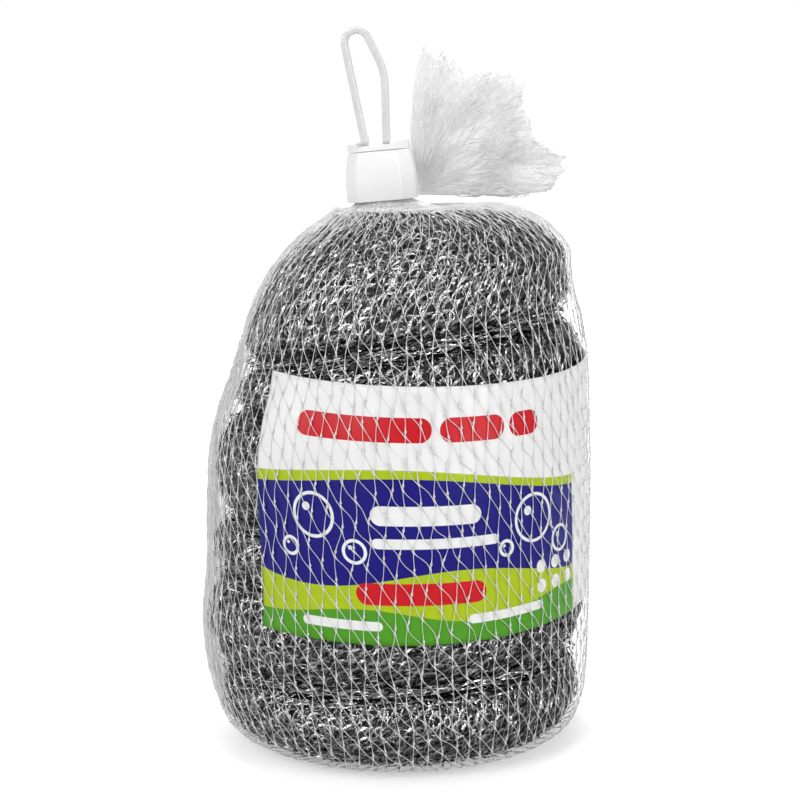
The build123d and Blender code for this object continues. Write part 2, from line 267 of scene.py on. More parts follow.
def sheet_skin(front, back):
    """A closed thin sheet: a front and a back grid of points, joined along their four edges."""
    columns, levels = front.shape[:2]
    count = columns * levels
    index = np.arange(count).reshape(columns, levels)
    corners = (index[:-1, :-1], index[1:, :-1], index[1:, 1:], index[:-1, 1:])
    face = np.stack(corners, -1).reshape(-1, 4)
    edge = np.concatenate((index[:, 0], index[-1, 1:], index[-2::-1, -1], index[0, -2:0:-1]))
    after = np.roll(edge, -1)
    wall = np.stack((edge, edge + count, after + count, after), -1)
    points = np.concatenate((front.reshape(-1, 3), back.reshape(-1, 3)))
    return points, [np.concatenate((face, face[:, ::-1] + count, wall))]


# ---- materials


def node(tree, kind, **settings):
    """A shader node with its settings."""
    made = tree.nodes.new(kind)
    for name, value in settings.items():
        setattr(made, name, value)
    return made


def feed(made, **inputs):
    """Gives a node's inputs their links or their own values, and hands the node back."""
    for name, value in inputs.items():
        socket = made.inputs[name.replace("_", " ")]
        if isinstance(value, bpy.types.NodeSocket):
            made.id_data.links.new(value, socket)
        else:
            socket.default_value = value
    return made


def new_material(name, **values):
    """A Principled material, with values set on the shader's own sockets."""
    material = bpy.data.materials.new(name)
    material.use_nodes = True
    tree = material.node_tree
    return material, tree, feed(tree.nodes["Principled BSDF"], **values)


def place_of(tree, scale=(1, 1, 1)):
    """Object coordinates through a Mapping that stretches them."""
    coordinates = node(tree, "ShaderNodeTexCoord").outputs["Object"]
    mapping = feed(node(tree, "ShaderNodeMapping"), Vector=coordinates, Scale=scale)
    return mapping.outputs["Vector"]


def noise_of(tree, place, scale, detail=3.0):
    """Noise between 0 and 1 at a place."""
    noise = node(tree, "ShaderNodeTexNoise")
    feed(noise, Vector=place, Scale=scale, Detail=detail, Roughness=0.55)
    return noise.outputs["Fac"]


def grey_ramp(tree, value, low, high, start=0.3, end=0.7):
    """Greys along a value: low up to the start, high from the end on, and mixed between them."""
    ramp = feed(node(tree, "ShaderNodeValToRGB"), Fac=value)
    for element, place, grey in zip(ramp.color_ramp.elements, (start, end), (low, high)):
        element.position = place
        element.color = (grey, grey, grey, 1.0)
    return ramp.outputs["Color"]


def range_of(tree, value, low, high, start=0.0, end=1.0):
    """A value moved from start..end to low..high."""
    remap = node(tree, "ShaderNodeMapRange")
    feed(remap, Value=value, From_Min=start, From_Max=end, To_Min=low, To_Max=high)
    return remap.outputs["Result"]


def math_of(tree, operation, *values):
    """One Math node over values or sockets."""
    made = node(tree, "ShaderNodeMath", operation=operation)
    for socket, value in zip(made.inputs, values):
        if isinstance(value, (int, float)):
            socket.default_value = value
        else:
            tree.links.new(value, socket)
    return made.outputs[0]


def cell_lines(tree, place, scale, width):
    """Edges of a cell pattern: 1 on an edge, down to 0 at the width from it."""
    cells = node(tree, "ShaderNodeTexVoronoi", feature="DISTANCE_TO_EDGE")
    feed(cells, Vector=place, Scale=scale)
    return range_of(tree, cells.outputs["Distance"], 1.0, 0.0, 0.0, width)


def background_rays(tree):
    """1 for camera, mirror and glass rays, which see the pale background at its full level."""
    path = node(tree, "ShaderNodeLightPath")
    seen = path.outputs["Is Camera Ray"]
    for name in ("Is Glossy Ray", "Is Transmission Ray"):
        seen = math_of(tree, "MAXIMUM", seen, path.outputs[name])
    return seen


def bump_of(tree, shader, height, distance):
    """Raises the surface's shading by a height over a distance in metres."""
    bump = feed(node(tree, "ShaderNodeBump"), Height=height, Distance=distance, Strength=1.0)
    feed(shader, Normal=bump.outputs["Normal"])


def knitted_wire_material(name, dark, light, rough):
    """Flat drawn wire: metal whose colour is lighter and darker in patches, a painted reflection
    that stands in for light caught by the turning wires, with fine drawing marks.
    """
    material, tree, shader = new_material(name, Metallic=1.0)
    # Patches of lighter and darker colour: painted reflection of the wires' changing angles.
    patches = noise_of(tree, place_of(tree), 260.0, 2.0)
    marks = noise_of(tree, place_of(tree, (1.0, 1.0, 3.0)), 1400.0, 2.0)
    gloss = range_of(tree, marks, rough - 0.08, rough + 0.12, 0.3, 0.7)
    feed(shader, Base_Color=grey_ramp(tree, patches, dark, light), Roughness=gloss)
    bump_of(tree, shader, marks, 0.00008)
    return material


def wire_shadow_material():
    """Tangle deep in a pad, in painted shade: near black, with dim crossing wires drawn as cell
    edges.
    """
    material, tree, shader = new_material("tangled_wire_painted_shade", Metallic=0.85)
    place = place_of(tree, (1.0, 1.0, 1.25))
    wires = cell_lines(tree, place, 520.0, 0.16)
    gloss = range_of(tree, noise_of(tree, place, 900.0), 0.35, 0.7)
    feed(shader, Base_Color=grey_ramp(tree, wires, 0.015, 0.15, 0.1, 1.0), Roughness=gloss)
    bump_of(tree, shader, wires, 0.0008)
    return material


def plastic_material(name, low, high, rough, scale, grain=0.00003):
    """Moulded or drawn plastic: faint flow marks in its colour and gloss, and a fine grain."""
    material, tree, shader = new_material(name, IOR=1.49)
    place = place_of(tree)
    flow = noise_of(tree, place, scale)
    fine = noise_of(tree, place, scale * 9.0, 2.0)
    gloss = range_of(tree, fine, rough - 0.06, rough + 0.08, 0.3, 0.7)
    feed(shader, Base_Color=grey_ramp(tree, flow, low, high), Roughness=gloss)
    bump_of(tree, shader, fine, grain)
    return material


def fine_mesh_material():
    """Finest threads of the net, too thin to draw singly: a pale plastic that lets light past
    between threads, thinner and denser in patches, with faint lines of a stretched cell pattern."""
    material, tree, shader = new_material("fine_tail_threads", Roughness=0.55, IOR=1.49)
    place = place_of(tree, (1.0, 1.0, 0.6))
    threads = cell_lines(tree, place, 620.0, 0.12)
    flow = noise_of(tree, place, 160.0)
    cover = math_of(tree, "MULTIPLY_ADD", threads, 0.1, range_of(tree, flow, 0.78, 0.93, 0.3, 0.7))
    feed(shader, Base_Color=grey_ramp(tree, flow, 0.68, 0.8), Alpha=cover)
    bump_of(tree, shader, threads, 0.0001)
    return material


# Both wire colours are kept darker than bare steel, painted shade of the tangle round them; the
# under layer is a darker copy of the same wire, painted shade from the layer over it.
outer_wire = knitted_wire_material("knitted_wire_outer", 0.1, 0.24, 0.2)
shaded_inner_wire = knitted_wire_material("knitted_wire_inner_shaded", 0.07, 0.17, 0.26)
wire_painted_shade = wire_shadow_material()
net_strand = plastic_material("drawn_net_strand", 0.72, 0.84, 0.34, 180.0)
tail_strand = plastic_material("crumpled_net_strand", 0.66, 0.88, 0.42, 70.0)
fine_mesh = fine_mesh_material()
fine_strand = plastic_material("fine_pleat_strand", 0.7, 0.84, 0.4, 160.0)
# Gathered strands are a lighter copy of the net strand, with more emission below: painted light
# that lifts the shade under the clip.
lit_gathered_strand = plastic_material("gathered_net_strand_lit", 0.82, 0.92, 0.4, 160.0)
clip_white = plastic_material("moulded_clip_white", 0.8, 0.85, 0.45, 90.0, 0.00002)
loop_white = plastic_material("moulded_strap_white", 0.6, 0.66, 0.3, 120.0, 0.00002)

# Thin plastic lets light through: how much each strand covers, and the emission each gets, painted
# light that stands in for light passing through the plastic and lifts strands lying in shade
for material, cover, painted_glow in (
    (net_strand, 0.82, 0.02),
    (lit_gathered_strand, 0.82, 0.07),
    (tail_strand, 0.95, 0.09),
    (fine_mesh, None, 0.15),
    (fine_strand, 0.8, 0.16),
):
    shader = material.node_tree.nodes["Principled BSDF"]
    feed(shader, Emission_Color=(1.0, 1.0, 1.0, 1.0), Emission_Strength=painted_glow)
    if cover:
        feed(shader, Alpha=cover)
# ---- knitted pads


def pad_rows(number):
    """Profile of one pad from its lower eye out over the rim and in to its upper eye, with the
    numbers of the rows at its two creases."""
    rim = np.array((LOWEST_RIM, *([MIDDLE_RIM] * 4), TOP_RIM)[number])
    radius_share, shift_share = PAD_SHARES[number]
    low, low_tilt, low_lean = DIVIDERS[number]
    high, high_tilt, high_lean = DIVIDERS[number + 1]
    low, high = low * PACK_HEIGHT + PAD_GAP / 2, high * PACK_HEIGHT - PAD_GAP / 2
    share = rim[:, 0]
    rows = np.column_stack(
        (
            low + (high - low) * share,
            (shift_share + rim[:, 2]) * PAD_RADIUS,
            radius_share * rim[:, 1] * PAD_RADIUS,
            low_tilt + (high_tilt - low_tilt) * share,
            low_lean + (high_lean - low_lean) * share,
        )
    )
    first, last = rows[0], rows[-1]
    upper_eye = TOP_EYE if number == TOP_PAD else EYE
    lower = [(first[0] + depth, first[1], radius, *first[3:]) for depth, radius in EYE[::-1]]
    upper = [(last[0] - depth, last[1], radius, *last[3:]) for depth, radius in upper_eye]
    return np.concatenate((lower, rows, upper)), len(EYE), len(EYE) + len(rows) - 1


def pad_profile(number):
    """A pad's rows, the running lengths and places along them, and the lengths at its creases."""
    rows, first, last = pad_rows(number)
    lengths, places = lengths_along(rows)
    return rows, lengths, places, *np.interp((first, last), places, lengths)


def core_of(number, lift):
    """Body of a pad, dark with painted shade of the tangle deep inside: its turned surface drawn in
    by the lift and roughened by a ripple of half a millimetre, with a point closing each eye."""
    rows, lengths, places = pad_profile(number)[:3]
    along = np.linspace(0, lengths[-1], 90)[:, None]
    angle = np.linspace(0, TURN, 160, endpoint=False)[None, :]
    rough = 0.5 * ripple(40 + number, angle, along, 8, (12, 46), (4.0, 9.0))
    points = round_surface(rows, np.interp(along, lengths, places), angle, lift + rough)
    index = np.arange(points.shape[0] * points.shape[1]).reshape(points.shape[:2])
    turned = np.roll(index, -1, 1)
    walls = np.stack((index[:-1], turned[:-1], turned[1:], index[1:]), -1).reshape(-1, 4)
    low_end, high_end = np.full(index.shape[1], index.size), np.full(index.shape[1], index.size + 1)
    low = np.stack((turned[0], index[0], low_end), -1)
    high = np.stack((index[-1], turned[-1], high_end), -1)
    ends = points[(0, -1), :].mean(1)
    return np.concatenate((points.reshape(-1, 3), ends)), [walls, np.concatenate((low, high))]


# Flat wire of the knit. Loops differ in size by this share, and sway, climb, sink and dip by these
# lengths; by a crease they are this much wider and lower; where pressed they are this much broader
LOOP_SIZES, LOOP_SWAY, LOOP_CLIMB, LOOP_SINK, LOOP_DIP = 0.22, 0.7, 0.6, 0.4, 0.3
CREASE_WIDER, CREASE_LOWER, CREASE_REACH = 0.5, 0.55, 4.5
PRESSED_BROADER, PRESSED_FLATTER, WIRE_ROLL = 1.5, 0.55, 0.9


def knit_row(rows, lengths, places, middle, seed, lift, knit, squeeze):
    """One round of looped wire, a closed path. With f the turn within loop j the wire is at
    pitch (j + f) + reach sin f sideways and height cos f up and down, nearly circles that lie over
    each other, and dips on one side by 1 - cos(f + 0.9). Ripples vary each loop's size, place and
    depth. Near a crease the squeeze flattens the loops to level ovals. Where the loop was pressed
    in rolling, at the ninth power of cos(f + 0.6), the wire is wider and lies flatter."""
    steps, pitch, reach, height, width, thickness = knit
    radius = curve_through(rows, np.interp(middle, lengths, places))[2]
    loops = max(int(round(TURN * radius / pitch)), 6)
    turn = np.arange(loops * steps) / steps
    phase = TURN * (turn % 1.0)
    round_pack = TURN * (turn + seed * 0.37) / loops
    sway = ripple(seed, round_pack, middle, 7, (9, 50), (7.0, 15.0))
    climb = ripple(seed + 500, round_pack, middle, 7, (7, 46), (7.0, 15.0))
    sink = ripple(seed + 900, round_pack, middle, 6, (10, 60), (6.0, 12.0))
    size = 1 + LOOP_SIZES * ripple(seed + 1100, round_pack, middle, 6, (30, 140), (6.0, 12.0))
    across = reach * (1 + CREASE_WIDER * squeeze) * size * np.sin(phase) + LOOP_SWAY * sway
    angle = round_pack + across / max(radius, 6.0)
    rise = height * (1 - CREASE_LOWER * squeeze) * size * np.cos(phase)
    along = np.clip(middle + rise + LOOP_CLIMB * climb, 0.3, lengths[-1] - 0.3)
    depth = lift - LOOP_DIP * (1 - np.cos(phase + 0.9)) - LOOP_SINK * (1 + sink)
    where = np.interp(along, lengths, places)
    path = round_surface(rows, where, angle, depth)[None]
    outward = unit(round_surface(rows, where, angle, depth + 0.5)[None] - path)
    pressed = np.clip(np.cos(phase + 0.6), 0, 1)[None] ** 9
    roll = WIRE_ROLL * ripple(seed + 1300, angle, middle, 6, (30, 130), (5.0, 9.0))
    roll = roll * (1 - PRESSED_FLATTER * pressed)
    width = width * (1 + PRESSED_BROADER * pressed)
    return strand_skin(path, outward, width, thickness, FLAT_SECTION, roll, closed=True)


def knit_of(number, lift, knit, seed, span):
    """All rounds of looped wire over a stretch of one pad's profile, which is given from its lower
    crease; the squeeze runs from 1 at a crease down to 0 by a smooth step."""
    rows, lengths, places, low, high = pad_profile(number)
    start, end = low + span[0], low + span[1]
    middles = np.linspace(start, end, max(int(round((end - start) / ROUND_SPACING)), 2))
    to_crease = np.minimum(middles - low, high - middles)
    squeeze = ease(1 - to_crease / CREASE_REACH) * (to_crease > -1)
    return joined(
        knit_row(rows, lengths, places, middle, seed + 31 * step, lift, knit, squeeze[step])
        for step, middle in enumerate(middles)
    )


# Steps a loop, pitch, sideways reach, height, half width and half thickness of the flat wire
OUTER_KNIT = (12, 2.3, 1.45, 1.7, 0.13, 0.045)
UNDER_KNIT = (8, 2.3, 1.3, 1.6, 0.17, 0.05)
ROUND_SPACING = 2.35


def pad_span(number, part):
    """Stretch of a pad's profile that one piece of knitting covers, from the crease below it:
    the rim of each pad, and beside it the underside of the lowest pad or the crown of the top."""
    low, high = pad_profile(number)[3:]
    rim = high - low
    if part == "underside":
        return (-25.0, -1.5) if number == 0 else None
    if part == "crown":
        return (0.55 * rim + 1.2, rim + 7.0) if number == TOP_PAD else None
    return (-0.5, 0.55 * rim if number == TOP_PAD else rim + 0.5)


for number in range(len(PAD_SHARES)):
    # Each pad's depth piece is a dark core in painted shade, standing in for the shaded tangle
    # under the knit.
    made = [new_piece(f"pad_{number + 1}_depth", *core_of(number, -2.0), wire_painted_shade)]
    for part in ("rim", "underside", "crown"):
        span = pad_span(number, part)
        if span is None:
            continue
        for layer, lift, knit, material, seed in (
            ("outer", -0.2, OUTER_KNIT, outer_wire, 1000 * number + 7),
            ("under", -1.1, UNDER_KNIT, shaded_inner_wire, 1000 * number + 507),
        ):
            name = f"pad_{number + 1}_{part}_{layer}"
            skin = knit_of(number, lift, knit, seed + 3 * len(part), span)
            made.append(new_piece(name, *skin, material, smooth=False))
    for piece in made:
        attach(piece, "pack")
        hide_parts(f"scrubber_{number + 1}")


def crease_wires(number, rings):
    """Level wires in the crease above a pad: closed rings on the plane between two pads. Ring j
    lies at a share of the pads' radius from 0.8 to 0.95 and off the plane by up to 0.25 mm, 2.4 mm
    more by the rim, and ripples wave it in and out and up and down."""
    height, tilt, lean = DIVIDERS[number]
    radius_share, shift_share = np.mean(PAD_SHARES[number - 1 : number + 1], axis=0)
    angle = np.linspace(0, TURN, 300, endpoint=False)[None, :]
    ring = np.linspace(0, 1, rings)[:, None]
    side = np.random.default_rng(200 + number).uniform(-1, 1, (rings, 1))
    drift = ring * 400.0
    inward = ripple(210 + number, angle, drift, 8, (5, 34), (30, 70))
    upward = ripple(230 + number, angle, drift, 8, (4, 30), (30, 70))
    roll = WIRE_ROLL * ripple(250 + number, angle, drift, 6, (20, 90), (30, 70))
    radius = radius_share * PAD_RADIUS * (0.8 + 0.15 * ring) + 0.7 * inward
    height = height * PACK_HEIGHT + (side * (0.25 + 2.4 * ring**2) + 0.35 * upward)
    path = turned_points(height, shift_share * PAD_RADIUS, radius, tilt, lean, angle)
    outward = np.stack((np.sin(angle), -np.cos(angle), 0 * angle), -1)
    outward = np.broadcast_to(outward, path.shape)
    return strand_skin(path, outward, 0.17, 0.05, FLAT_SECTION, roll, closed=True)


for number in range(1, len(PAD_SHARES)):
    name = f"crease_{number}_wires"
    piece = new_piece(name, *crease_wires(number, 15), outer_wire, smooth=False)
    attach(piece, "pack")

# ---- net


def stood_off(rows, distance):
    """Rows moved out along the profile's normal by a distance."""
    chord = np.concatenate((rows[1:], rows[-1:])) - np.concatenate((rows[:1], rows[:-1]))
    rise, run = chord[:, 0], chord[:, 2]
    length = np.hypot(rise, run)
    moved = rows.copy()
    moved[:, 0] -= distance * run / length
    moved[:, 2] += distance * rise / length
    return moved


def net_profile():
    """The net's rows: under the weld, over the floor, up the wall, over the dome to its mouth."""
    wall = np.pad(NET_WALL, ((0, 0), (0, 1))) * (PACK_HEIGHT, PAD_RADIUS, PAD_RADIUS, 1.0, 0.0)
    top_rows, first, last = pad_rows(TOP_PAD)
    dome = stood_off(top_rows[first : last + 1], NET_STAND_OFF)[2:]
    floor = [(0.0, wall[0, 1], radius, 0.0, 0.0) for radius in (5.0, 14.0, 23.0, 32.0)]
    return np.concatenate((floor, wall, dome, [MOUTH]))


# The net has this many strands up and across; CELL is the length of a diamond up the profile and
# DROP the fall of a strand across from one column to the next. STRAND is half a strand's width.
NET_ROWS = net_profile()
NET_LENGTHS, NET_PLACES = lengths_along(NET_ROWS)
NET_LENGTH = NET_LENGTHS[-1]
COLUMNS = 89
DIAGONALS = 68
CELL = 5.4
DROP = CELL * DIAGONALS / COLUMNS
STRAND = 0.08
STRAND_LIFT = -0.3
CELL_STEPS = (0.0, 0.09, 0.3, 0.5, 0.7, 0.91)


def net_surface(angle, along, lift):
    """Point of the net: angle and length up the profile drift by ripples that both strand families
    share, so that their crossings stay together, and the top turns by 0.15 of a radian."""
    loose = ease(along / 20) * ease((NET_LENGTH - along) / 14)
    drift = 0.012 * ripple(1, angle, along, 6, (1, 7), (40, 90))
    drift = drift + 0.008 * ripple(2, angle, along, 9, (9, 36), (9, 22))
    climb = 0.8 * ripple(3, angle, along, 6, (1, 6), (40, 90))
    climb = climb + 0.35 * ripple(4, angle, along, 9, (9, 36), (9, 22))
    twist = 0.15 * ease((along - NET_LENGTH + 58) / 58)
    place = np.interp(along + climb * loose, NET_LENGTHS, NET_PLACES)
    return round_surface(NET_ROWS, place, angle + drift * loose + twist, lift)


def net_path(angle, along, lift):
    """Points of the net and the directions out of it, from there to 1 mm further out."""
    path = net_surface(angle, along, lift)
    return path, unit(net_surface(angle, along, lift + 1.0) - path)


def strand_bulge(from_knot):
    """Half thickness of a strand: thicker near a knot, by the bell of the distance over 0.4 mm."""
    return STRAND * (1 + 3.0 * np.exp(-((from_knot / 0.4) ** 2)))


def net_strands(angle, along, from_knot):
    """Skins of net strands at the given angles and lengths, drawn thinner over the top 60 mm."""
    path, outward = net_path(angle, along, STRAND_LIFT)
    bulge = strand_bulge(from_knot) * (1 - 0.36 * ease((along - NET_LENGTH + 60) / 50))
    return strand_skin(path, outward, bulge * 1.1, bulge * 0.8)


def riser_strands():
    """Strands up the pack: column i has its knots at lengths (-DROP i mod CELL) + CELL n."""
    column = np.arange(COLUMNS)[:, None]
    first = 0.4 + (-DROP * column) % CELL
    cells = int((NET_LENGTH - CELL - 0.8) // CELL)
    steps = (np.arange(cells)[:, None] + np.array(CELL_STEPS)).ravel()[None, :]
    low, high = np.zeros((COLUMNS, 1)), np.full((COLUMNS, 1), NET_LENGTH)
    along = np.concatenate((low, first + CELL * steps, high), 1)
    gap = np.abs((along - first + CELL / 2) % CELL - CELL / 2)
    return net_strands(TURN * column / COLUMNS * np.ones_like(along), along, gap)


def diagonal_strands():
    """Strands across the pack: a column to the right for every DROP down, a knot at each."""
    strand = np.arange(DIAGONALS)[:, None]
    start = strand * COLUMNS / DIAGONALS + (NET_LENGTH - 0.4) / DROP
    first = np.ceil(start + 0.05)
    cells = int(NET_LENGTH / DROP) - 1
    steps = (np.arange(cells)[:, None] + np.array(CELL_STEPS)).ravel()[None, :]
    column = np.concatenate((start + 0 * first, first + steps, start + NET_LENGTH / DROP), 1)
    column[:, -1] = np.maximum(column[:, -1], column[:, -2] + 0.1)
    along = np.clip(NET_LENGTH - DROP * (column - start), 0.02, NET_LENGTH)
    gap = np.abs((column + 0.5) % 1 - 0.5) * CELL
    return net_strands(TURN * column / COLUMNS, along, gap)


def pleat_strands(count, seed, middle, spread, wander, half_width, depth):
    """Slack of the net, drawn in folds down the left side: strands at angles scattered about the
    middle with a normal spread, in degrees, that wander and cross just inside the net, each from
    its own place near the floor to its own place on the dome."""
    dice = np.random.default_rng(seed)
    low, high = dice.uniform(22, 44, (count, 1)), dice.uniform(118, 158, (count, 1))
    along = low + (high - low) * np.linspace(0, 1, 44)[None, :]
    own = along + 300.0 * np.arange(count)[:, None]
    angle = np.radians(dice.normal(middle, spread, (count, 1)))
    drift = wander * ripple(seed + 1, angle, own, 7, (1, 9), (24, 80))
    waves = (0.3 + 0.6 * depth) * ripple(seed + 2, angle, own, 6, (1, 9), (20, 60))
    path, outward = net_path(angle + drift, along, np.minimum(-0.75 - depth + waves, 0.0))
    return strand_skin(path, outward, half_width, half_width * 0.7)


def gather_strands(count):
    """Net drawn together at the top: strands i at angles 2 pi i / count, from the mouth down over
    the crown by 4 to 11 mm each, up to twice that at the front left, by a bell of the angle; they
    wander and cross a little below the net."""
    dice = np.random.default_rng(310)
    share = np.linspace(0, 1, 22)[None, :]
    start = TURN * np.arange(count)[:, None] / count
    ahead = np.exp(-(((start + 0.35 + np.pi) % TURN - np.pi) / 0.8) ** 2)
    along = NET_LENGTH - dice.uniform(4.0, 11.0, (count, 1)) * (1 + ahead) * share
    slope = dice.uniform(-0.35, 0.35, (count, 1)) * share
    angle = start + slope + 0.03 * ripple(311, start, along, 6, (1, 9), (6, 20))
    path, outward = net_path(angle, along, STRAND_LIFT - 0.2 * share)
    return strand_skin(path, outward, STRAND, STRAND * 0.7)


def loose_strands(count, seed, middle):
    """Strands that stand off the crown beside the clip, at angles from the middle, in degrees, to
    the front, the middle times 1 less half a normal spread, from the mouth down by up to 24 mm.
    An arch lifts them: sin(pi share) times 1.3 less the share, 0.2 to 1 times 1.3 mm high."""
    dice = np.random.default_rng(seed)
    share = np.linspace(0, 1, 26)[None, :]
    start = np.radians(middle * (1 - np.abs(dice.normal(0, 0.4, (count, 1)))))
    along = NET_LENGTH - 0.5 - dice.uniform(12.0, 24.0, (count, 1)) * share
    slope = dice.uniform(-0.3, 0.3, (count, 1)) * share
    angle = start + slope + 0.02 * ripple(seed + 1, start, along, 6, (1, 9), (6, 20))
    arch = 1.3 * dice.uniform(0.2, 1.0, (count, 1)) * np.sin(np.pi * share) * (1.3 - share)
    path, outward = net_path(angle, along, STRAND_LIFT + arch)
    return strand_skin(path, outward, STRAND * 0.9, STRAND * 0.6)


for name, skin, material in (
    ("net_risers", riser_strands(), net_strand),
    ("net_diagonals", diagonal_strands(), net_strand),
    ("net_left_pleat", pleat_strands(60, 300, -92.0, 19.0, 0.05, STRAND * 1.1, 0.0), net_strand),
    ("net_left_fine_strands", pleat_strands(120, 330, -97.0, 8.0, 0.022, 0.075, 0.3), fine_strand),
    ("net_gathers", gather_strands(170), lit_gathered_strand),
    ("net_loose_right", loose_strands(64, 340, 76.0), lit_gathered_strand),
    ("net_loose_left", loose_strands(40, 350, -90.0), lit_gathered_strand),
):
    piece = new_piece(name, *skin, material)
    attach(piece, "pack")
    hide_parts("net_bag")

# ---- gathered neck


NECK_HALF_WIDTH, NECK_HALF_DEPTH, NECK_TURN = 6.1, 3.0, 0.15


def neck_strands(low, high, steps, slant, count, seed):
    """Strands from the bag's mouth into the clip: a smooth curve through a point just below the
    mouth, the mouth, a point halfway, the inside of the clip's foot and a point up inside it. A
    slant turns them sideways on the way, and ripples vary how far out each one enters."""
    angle = TURN * np.arange(count)[:, None] / count
    mouth = net_surface(angle, NET_LENGTH, STRAND_LIFT)
    below = net_surface(angle, NET_LENGTH - 2.5, STRAND_LIFT)
    turned = angle + NECK_TURN + slant
    wide = NECK_HALF_WIDTH + 0.25 * ripple(seed + 1, angle, 0.0, 5, (3, 26), (9, 20))
    deep = NECK_HALF_DEPTH + 0.25 * ripple(seed + 2, angle, 0.0, 5, (3, 26), (9, 20))
    across = (wide * np.sin(turned))[..., None] * CLIP_RIGHT
    across = across - (deep * np.cos(turned))[..., None] * CLIP_BACK
    foot = CLIP_FOOT + across + 0.3 * CLIP_UP
    end = CLIP_FOOT + 0.8 * across + 3.0 * CLIP_UP
    halfway = 0.5 * (mouth + foot) - np.array((0.0, 0.0, 0.45))
    rows = np.stack((below, mouth, halfway, foot, end)).reshape(5, -1)
    path = curve_through(rows, 1 + 3 * np.linspace(low, high, steps))
    path = path.reshape(steps, count, 3).swapaxes(0, 1)
    outward = unit((path + np.array((2.4, 0.0, 0.0))) * (1.0, 1.0, 0.0) + np.array((0.0, 0.0, 9.0)))
    return strand_skin(path, outward, STRAND * 1.25, STRAND)


def neck_piece(name, low, high, steps):
    """One half of the neck, with its three strand families."""
    families = ((0.0, COLUMNS, 60), (0.5, DIAGONALS, 70), (-0.35, COLUMNS, 80))
    skin = joined(neck_strands(low, high, steps, *family) for family in families)
    return new_piece(name, *skin, lit_gathered_strand)


neck_lower = neck_piece("neck_lower_strands", 0.0, 0.25, 8)
neck_upper = neck_piece("neck_upper_strands", 0.25, 1.0, 16)
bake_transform(neck_lower)
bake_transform(neck_upper)
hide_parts("net_neck")
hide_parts("net_bunch")

# ---- frayed tail

# Ragged edge of the tail from its top left round to its low right, sideways place and height
TAIL_RIM = np.array(
    (
        (6.4, 161.6), (7.1, 158.5), (8.5, 160.2), (10.0, 156.5), (10.5, 160.0), (12.2, 155.5),
        (13.0, 158.3), (16.0, 153.8), (19.1, 154.5), (21.5, 155.1), (26.0, 153.8), (29.8, 151.1),
        (29.4, 147.6), (29.9, 145.0), (31.7, 143.2), (31.3, 140.6), (33.1, 138.8), (35.2, 136.8),
        (39.4, 135.1), (38.4, 130.0), (35.3, 127.0), (28.3, 126.0),
    )
)
TAIL_DEPTH = 7.4
# Root of the tail by the clip's window, its highest point and its run down to the lowest
TAIL_ROOT, TAIL_ROOT_RUN = np.array((4.4, 127.8)), np.array((-0.4, -1.5))


def along_line(points, share):
    """Point a share of the way along a bent line, by its length."""
    run = running_length(points)
    return np.stack([np.interp(share, run / run[-1], points[:, axis]) for axis in (0, 1)], -1)


def swung(chord, angle):
    """Flat vectors turned to the left: x cos - y sin and x sin + y cos of the angle."""
    x, y, cos, sin = chord[..., 0], chord[..., 1], np.cos(angle), np.sin(angle)
    return np.stack((x * cos - y * sin, x * sin + y * cos), -1)


def tail_point(share, out, layer, seed):
    """Point of the tail's fan. The share runs along the ragged edge E and the root S, and out from
    the root, 0, to the edge, 1. Each ray is the curve with the points S, S + turned chord / 3,
    E - turned chord / 3 and E, its chord turned left at the root and right at the edge, most at the
    left. Below 0 the ray runs in through the window. Ripples crumple the fan, more to the right."""
    share, out = np.broadcast_arrays(share, out)
    held, inside = np.clip(out, 0, None), np.clip(-out, 0, 1)
    edge = along_line(TAIL_RIM, share)
    root = TAIL_ROOT + TAIL_ROOT_RUN * share[..., None]
    bow = np.radians(16 * (1 - share) + 22 * share * (1 - share))
    t = held[..., None]
    flat = (
        (1 - t) ** 3 * root
        + 3 * t * (1 - t) ** 2 * (root + swung(edge - root, bow) / 3)
        + 3 * t * t * (1 - t) * (edge - swung(edge - root, -bow) / 3)
        + t**3 * edge
    )
    crumple = ease(held * 1.5) * (1 - 0.6 * ease(held * 4 - 3)) * (0.3 + 1.1 * ease(share * 1.4))
    across = ripple(seed, share * 6.0, held * 30.0, 8, (1, 5), (8, 24))
    onward = ripple(seed + 1, share * 6.0, held * 30.0, 8, (1, 6), (7, 20))
    puff = ripple(seed + 2, share * 6.0, held * 30.0, 7, (1, 5), (10, 26))
    x = flat[..., 0] + 0.75 * crumple * across - 26.0 * inside
    z = flat[..., 1] + 0.75 * crumple * (1 - 0.6 * ease(share * 3 - 2)) * onward - 4.0 * inside
    spread = layer * (0.35 + 1.15 * ease(held * 1.3)) * (0.45 + 0.55 * ease(share * 2.5))
    y = TAIL_DEPTH + spread + 0.6 * crumple * puff - 60.0 * inside
    return np.stack((x, y, z), -1)


def tail_layer(layer, low, high, columns, seed, slant, thick, short):
    """One fold of the tail: two families of strands that cross as they run out, each ending at its
    own place by the ragged edge; a strand swells at its knots and at its cut end."""
    dice = np.random.default_rng(seed)
    skins = []
    for side in (-1, 1):
        column = np.linspace(0, 1, columns)[:, None]
        end = 1.0 - short * dice.random((columns, 1)) ** 2 - 0.02
        out = -0.08 + (end + 0.08) * np.linspace(0, 1, 48)[None, :]
        shift = side * slant * np.clip(out, 0, 1)
        wander = 0.006 * ripple(seed + 5 + side, column * 9.0, out * 20.0, 5, (1, 9), (5, 14))
        share = low + (high - low) * column + shift + wander
        share = low + np.abs(share - low)
        share = high - np.abs(high - share)
        path = tail_point(share, out, layer, seed)
        outward = np.broadcast_to((0.0, -1.0, 0.0), path.shape)
        cells = 7.0 * out + column * columns * 0.5
        knot = np.exp(-((((cells + 0.25) % 0.5) - 0.25) / 0.05) ** 2)
        tip = 1.0 + 1.4 * ease((out - end + 0.04) / 0.04) * (dice.random((columns, 1)) > 0.5)
        skins.append(strand_skin(path, outward, thick * (1 + 0.6 * knot) * tip, thick))
    return joined(skins)


